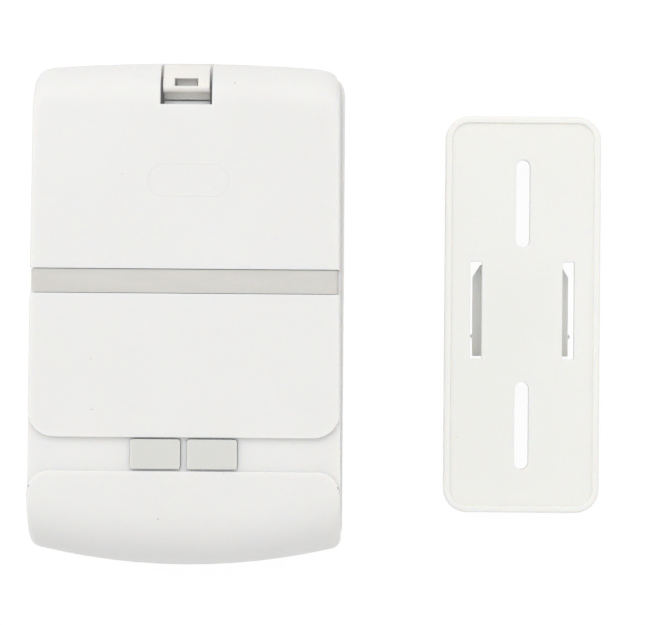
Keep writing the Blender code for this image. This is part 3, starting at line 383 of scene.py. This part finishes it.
# angles in degrees, and clamp lets Blender ease less where edges lie close together
frontSkin = dict(edge=0.08 * mm, steps=2, angle=38, smooth=40, clamp=False, triangles=True)
easedCopy("front_housing", "housing", housingAbs, frontSkin)

rearSkin = dict(edge=0.08 * mm, steps=2, angle=38, smooth=40, clamp=False, triangles=True)
easedCopy("rear_housing", "housing", housingAbs, rearSkin)

coverSkin = dict(edge=0.1 * mm, steps=2, angle=38, smooth=40, clamp=True)
easedCopy("battery_cover", "cover", coverAbs, coverSkin)

latchSkin = dict(smooth=40)
easedCopy("cover_latch", "latch", latchAbs, latchSkin)

# the whole bar is widened, and only across its width
barSkin = dict(edge=0.06 * mm, steps=2, angle=45, smooth=40, clamp=True)
barSkin.update(above=0.0, wider=(0.0, 0.06 * mm))
easedCopy("light_bar", "housing", acrylic, barSkin)

# only the cap above its flange is widened
buttonSkin = dict(edge=0.04 * mm, steps=2, angle=50, smooth=40, clamp=True)
buttonSkin.update(above=20.8 * mm, wider=(0.09 * mm, 0.09 * mm))
for side in ("left", "right"):
    easedCopy(f"{side}_button", f"{side}_button", buttonAbs, buttonSkin)

bracketSkin = dict(edge=0.1 * mm, steps=2, angle=50, smooth=40, clamp=False, triangles=True)
easedCopy("mounting_bracket", "bracket", bracketAbs, bracketSkin)
print("mouldings done")


# Round inner pieces, smooth where they are turned, drawn or wound

cellSkin = dict(edge=0.25 * mm, steps=2, angle=45, smooth=40, clamp=True)
screwSkin = dict(edge=0.08 * mm, steps=1, angle=45, smooth=40, clamp=True)
wireSkin = dict(smooth=65)
turnedSkin = dict(smooth=40)
for end in ("upper", "lower"):
    easedCopy(f"{end}_cell", "housing", innerLooks[f"{end}_cell"], cellSkin)
    easedCopy(f"{end}_contact_coil", "housing", tinned, wireSkin)
    for side in ("left", "right"):
        easedCopy(f"screw_{end}_{side}", "housing", zinc, screwSkin)
for side in ("left", "right"):
    easedCopy(f"{side}_lamp", "housing", lampEpoxy, turnedSkin)
easedCopy("capacitor", "housing", sleeve, turnedSkin)
easedCopy("reed_switch", "housing", glass, turnedSkin)
easedCopy("antenna_coil", "housing", copperWire, wireSkin)
print("round pieces done")


# Stage: white table, wide soft light from the latch end

paper = dict(size=6.0, drop=0.02 * mm, tone="EBEBEB", roughness=0.9, glow=1.04, glowShare=0.9)


def whiteTable():
    # a white sweep that reads as paper to the camera and still takes a faint shadow
    bpy.ops.object.select_all(action="DESELECT")
    bpy.ops.mesh.primitive_plane_add(size=paper["size"], location=(0, 0, -paper["drop"]))
    table = bpy.context.object
    table.name = "table"
    material, tree, shader = newMaterial("white paper sweep")
    setInputs(tree, shader, {"Base Color": linear(paper["tone"]), "Roughness": paper["roughness"]})
    seen = addNode(tree, "LightPath", {}, "Is Camera Ray")
    for ray in ("Is Transmission Ray", "Is Glossy Ray"):
        other = addNode(tree, "LightPath", {}, ray)
        seen = addNode(tree, "Math", {0: seen, 1: other}, operation="MAXIMUM")
    share = addNode(tree, "Math", {0: seen, 1: paper["glowShare"]}, operation="MULTIPLY")
    glow = addNode(tree, "Emission", {"Color": white, "Strength": paper["glow"]})
    surface = addNode(tree, "MixShader", {0: share, 1: shader.outputs[0], 2: glow})
    setInputs(tree, tree.nodes["Material Output"], {"Surface": surface})
    table.data.materials.append(material)


def softLight(name, settings):
    # a wide lamp that points at the middle of the pair
    data = bpy.data.lights.new(name, "AREA")
    data.shape = "RECTANGLE"
    data.size, data.size_y = settings["size"]
    data.energy = settings["power"]
    light = bpy.data.objects.new(name, data)
    light.location = settings["place"]
    light.rotation_euler = (-Vector(settings["place"])).to_track_quat("-Z", "Y").to_euler()
    bpy.context.scene.collection.objects.link(light)


whiteTable()
studioLamps = {  # metres and watts
    "window": dict(place=(-0.1, 0.5, 0.8), size=(1.2, 0.6), power=3.3),
    "fill": dict(place=(0.3, -0.7, 0.6), size=(1.2, 0.8), power=0.9),
    "left side": dict(place=(-0.8, 0.1, 0.5), size=(0.6, 0.8), power=1.15),
    "right side": dict(place=(0.8, 0.1, 0.3), size=(0.6, 0.8), power=0.6),
}
for name, settings in studioLamps.items():
    softLight(name, settings)

roomLight = 0.665
scene = bpy.context.scene
world = bpy.data.worlds.new("studio")
scene.world = world
world.use_nodes = True
background = world.node_tree.nodes["Background"]
setInputs(world.node_tree, background, {"Color": white, "Strength": roomLight})

# Camera straight above the middle of the pair

view = dict(x=1.15 * mm, y=0.87 * mm, height=522 * mm, roll=0.45)
view.update(lens=129.9, sensor=36.0, nearest=10 * mm, picture=(645, 625))
cameraData = bpy.data.cameras.new("camera")
cameraData.lens = view["lens"]
cameraData.sensor_width = view["sensor"]
cameraData.clip_start = view["nearest"]
camera = bpy.data.objects.new("camera", cameraData)
camera.location = (view["x"], view["y"], view["height"])
camera.rotation_euler = (0, 0, math.radians(view["roll"]))
scene.collection.objects.link(camera)
scene.camera = camera
scene.render.resolution_x, scene.render.resolution_y = view["picture"]
scene.view_settings.view_transform = "Standard"
print("stage done")
